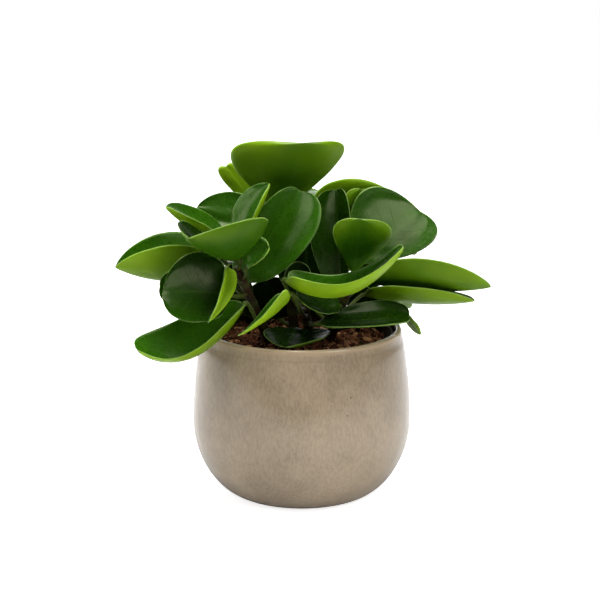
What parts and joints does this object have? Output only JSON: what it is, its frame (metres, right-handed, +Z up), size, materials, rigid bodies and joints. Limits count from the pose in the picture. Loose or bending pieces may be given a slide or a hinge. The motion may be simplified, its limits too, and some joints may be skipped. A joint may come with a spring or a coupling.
{
  "type": "potted house plant",
  "caption": "Bushy peperomia with thick, rounded, glossy green leaves, in a round-bellied glazed stoneware pot with bark potting mix.",
  "frame": {"origin": "centre of the pot's flat foot, on the surface it stands on", "axes": "+Z up along the pot's axis, -Y towards the side the plant is seen from, +X to that viewer's right"},
  "size_m": [0.249, 0.1786, 0.2454],
  "materials": {
    "glaze": "clear gloss glaze over speckled greige stoneware",
    "grow_pot_plastic": "thin black nursery-pot plastic",
    "bark_mix": "coarse bark chips and coir, dry and rough",
    "stem": "fleshy reddish green stem, satin",
    "leaf": "thick waxy leaf, glossy above and paler below"
  },
  "bodies": {
    "root": {"pot": "glaze", "grow_pot": "grow_pot_plastic", "potting_mix": "bark_mix", "stem_tall": "stem", "stem_left": "stem", "stem_right": "stem", "stem_back_right": "stem", "stem_back_left": "stem", "stem_front": "stem", "leaf_top_1": "leaf", "leaf_top_2": "leaf", "leaf_top_3": "leaf", "leaf_top_4": "leaf", "leaf_right_1": "leaf", "leaf_right_2": "leaf", "leaf_right_3": "leaf", "leaf_right_4": "leaf", "leaf_right_5": "leaf", "leaf_right_6": "leaf", "leaf_right_7": "leaf", "leaf_right_8": "leaf", "leaf_right_9": "leaf", "leaf_right_10": "leaf", "leaf_right_11": "leaf", "leaf_left_1": "leaf", "leaf_left_2": "leaf", "leaf_left_3": "leaf", "leaf_left_4": "leaf", "leaf_left_5": "leaf", "leaf_left_6": "leaf", "leaf_left_7": "leaf", "leaf_left_8": "leaf", "leaf_left_9": "leaf", "leaf_left_10": "leaf", "leaf_left_11": "leaf", "leaf_inner_1": "leaf", "leaf_inner_2": "leaf", "leaf_inner_3": "leaf", "leaf_inner_4": "leaf", "leaf_inner_5": "leaf", "leaf_front_1": "leaf", "leaf_front_2": "leaf", "leaf_front_3": "leaf", "leaf_back_1": "leaf", "leaf_back_2": "leaf", "leaf_back_3": "leaf", "leaf_back_4": "leaf", "leaf_back_5": "leaf", "leaf_back_6": "leaf", "leaf_back_7": "leaf", "leaf_back_8": "leaf", "leaf_back_9": "leaf", "leaf_back_10": "leaf", "leaf_back_11": "leaf", "leaf_back_12": "leaf", "leaf_back_13": "leaf"}
  },
  "joints": []
}
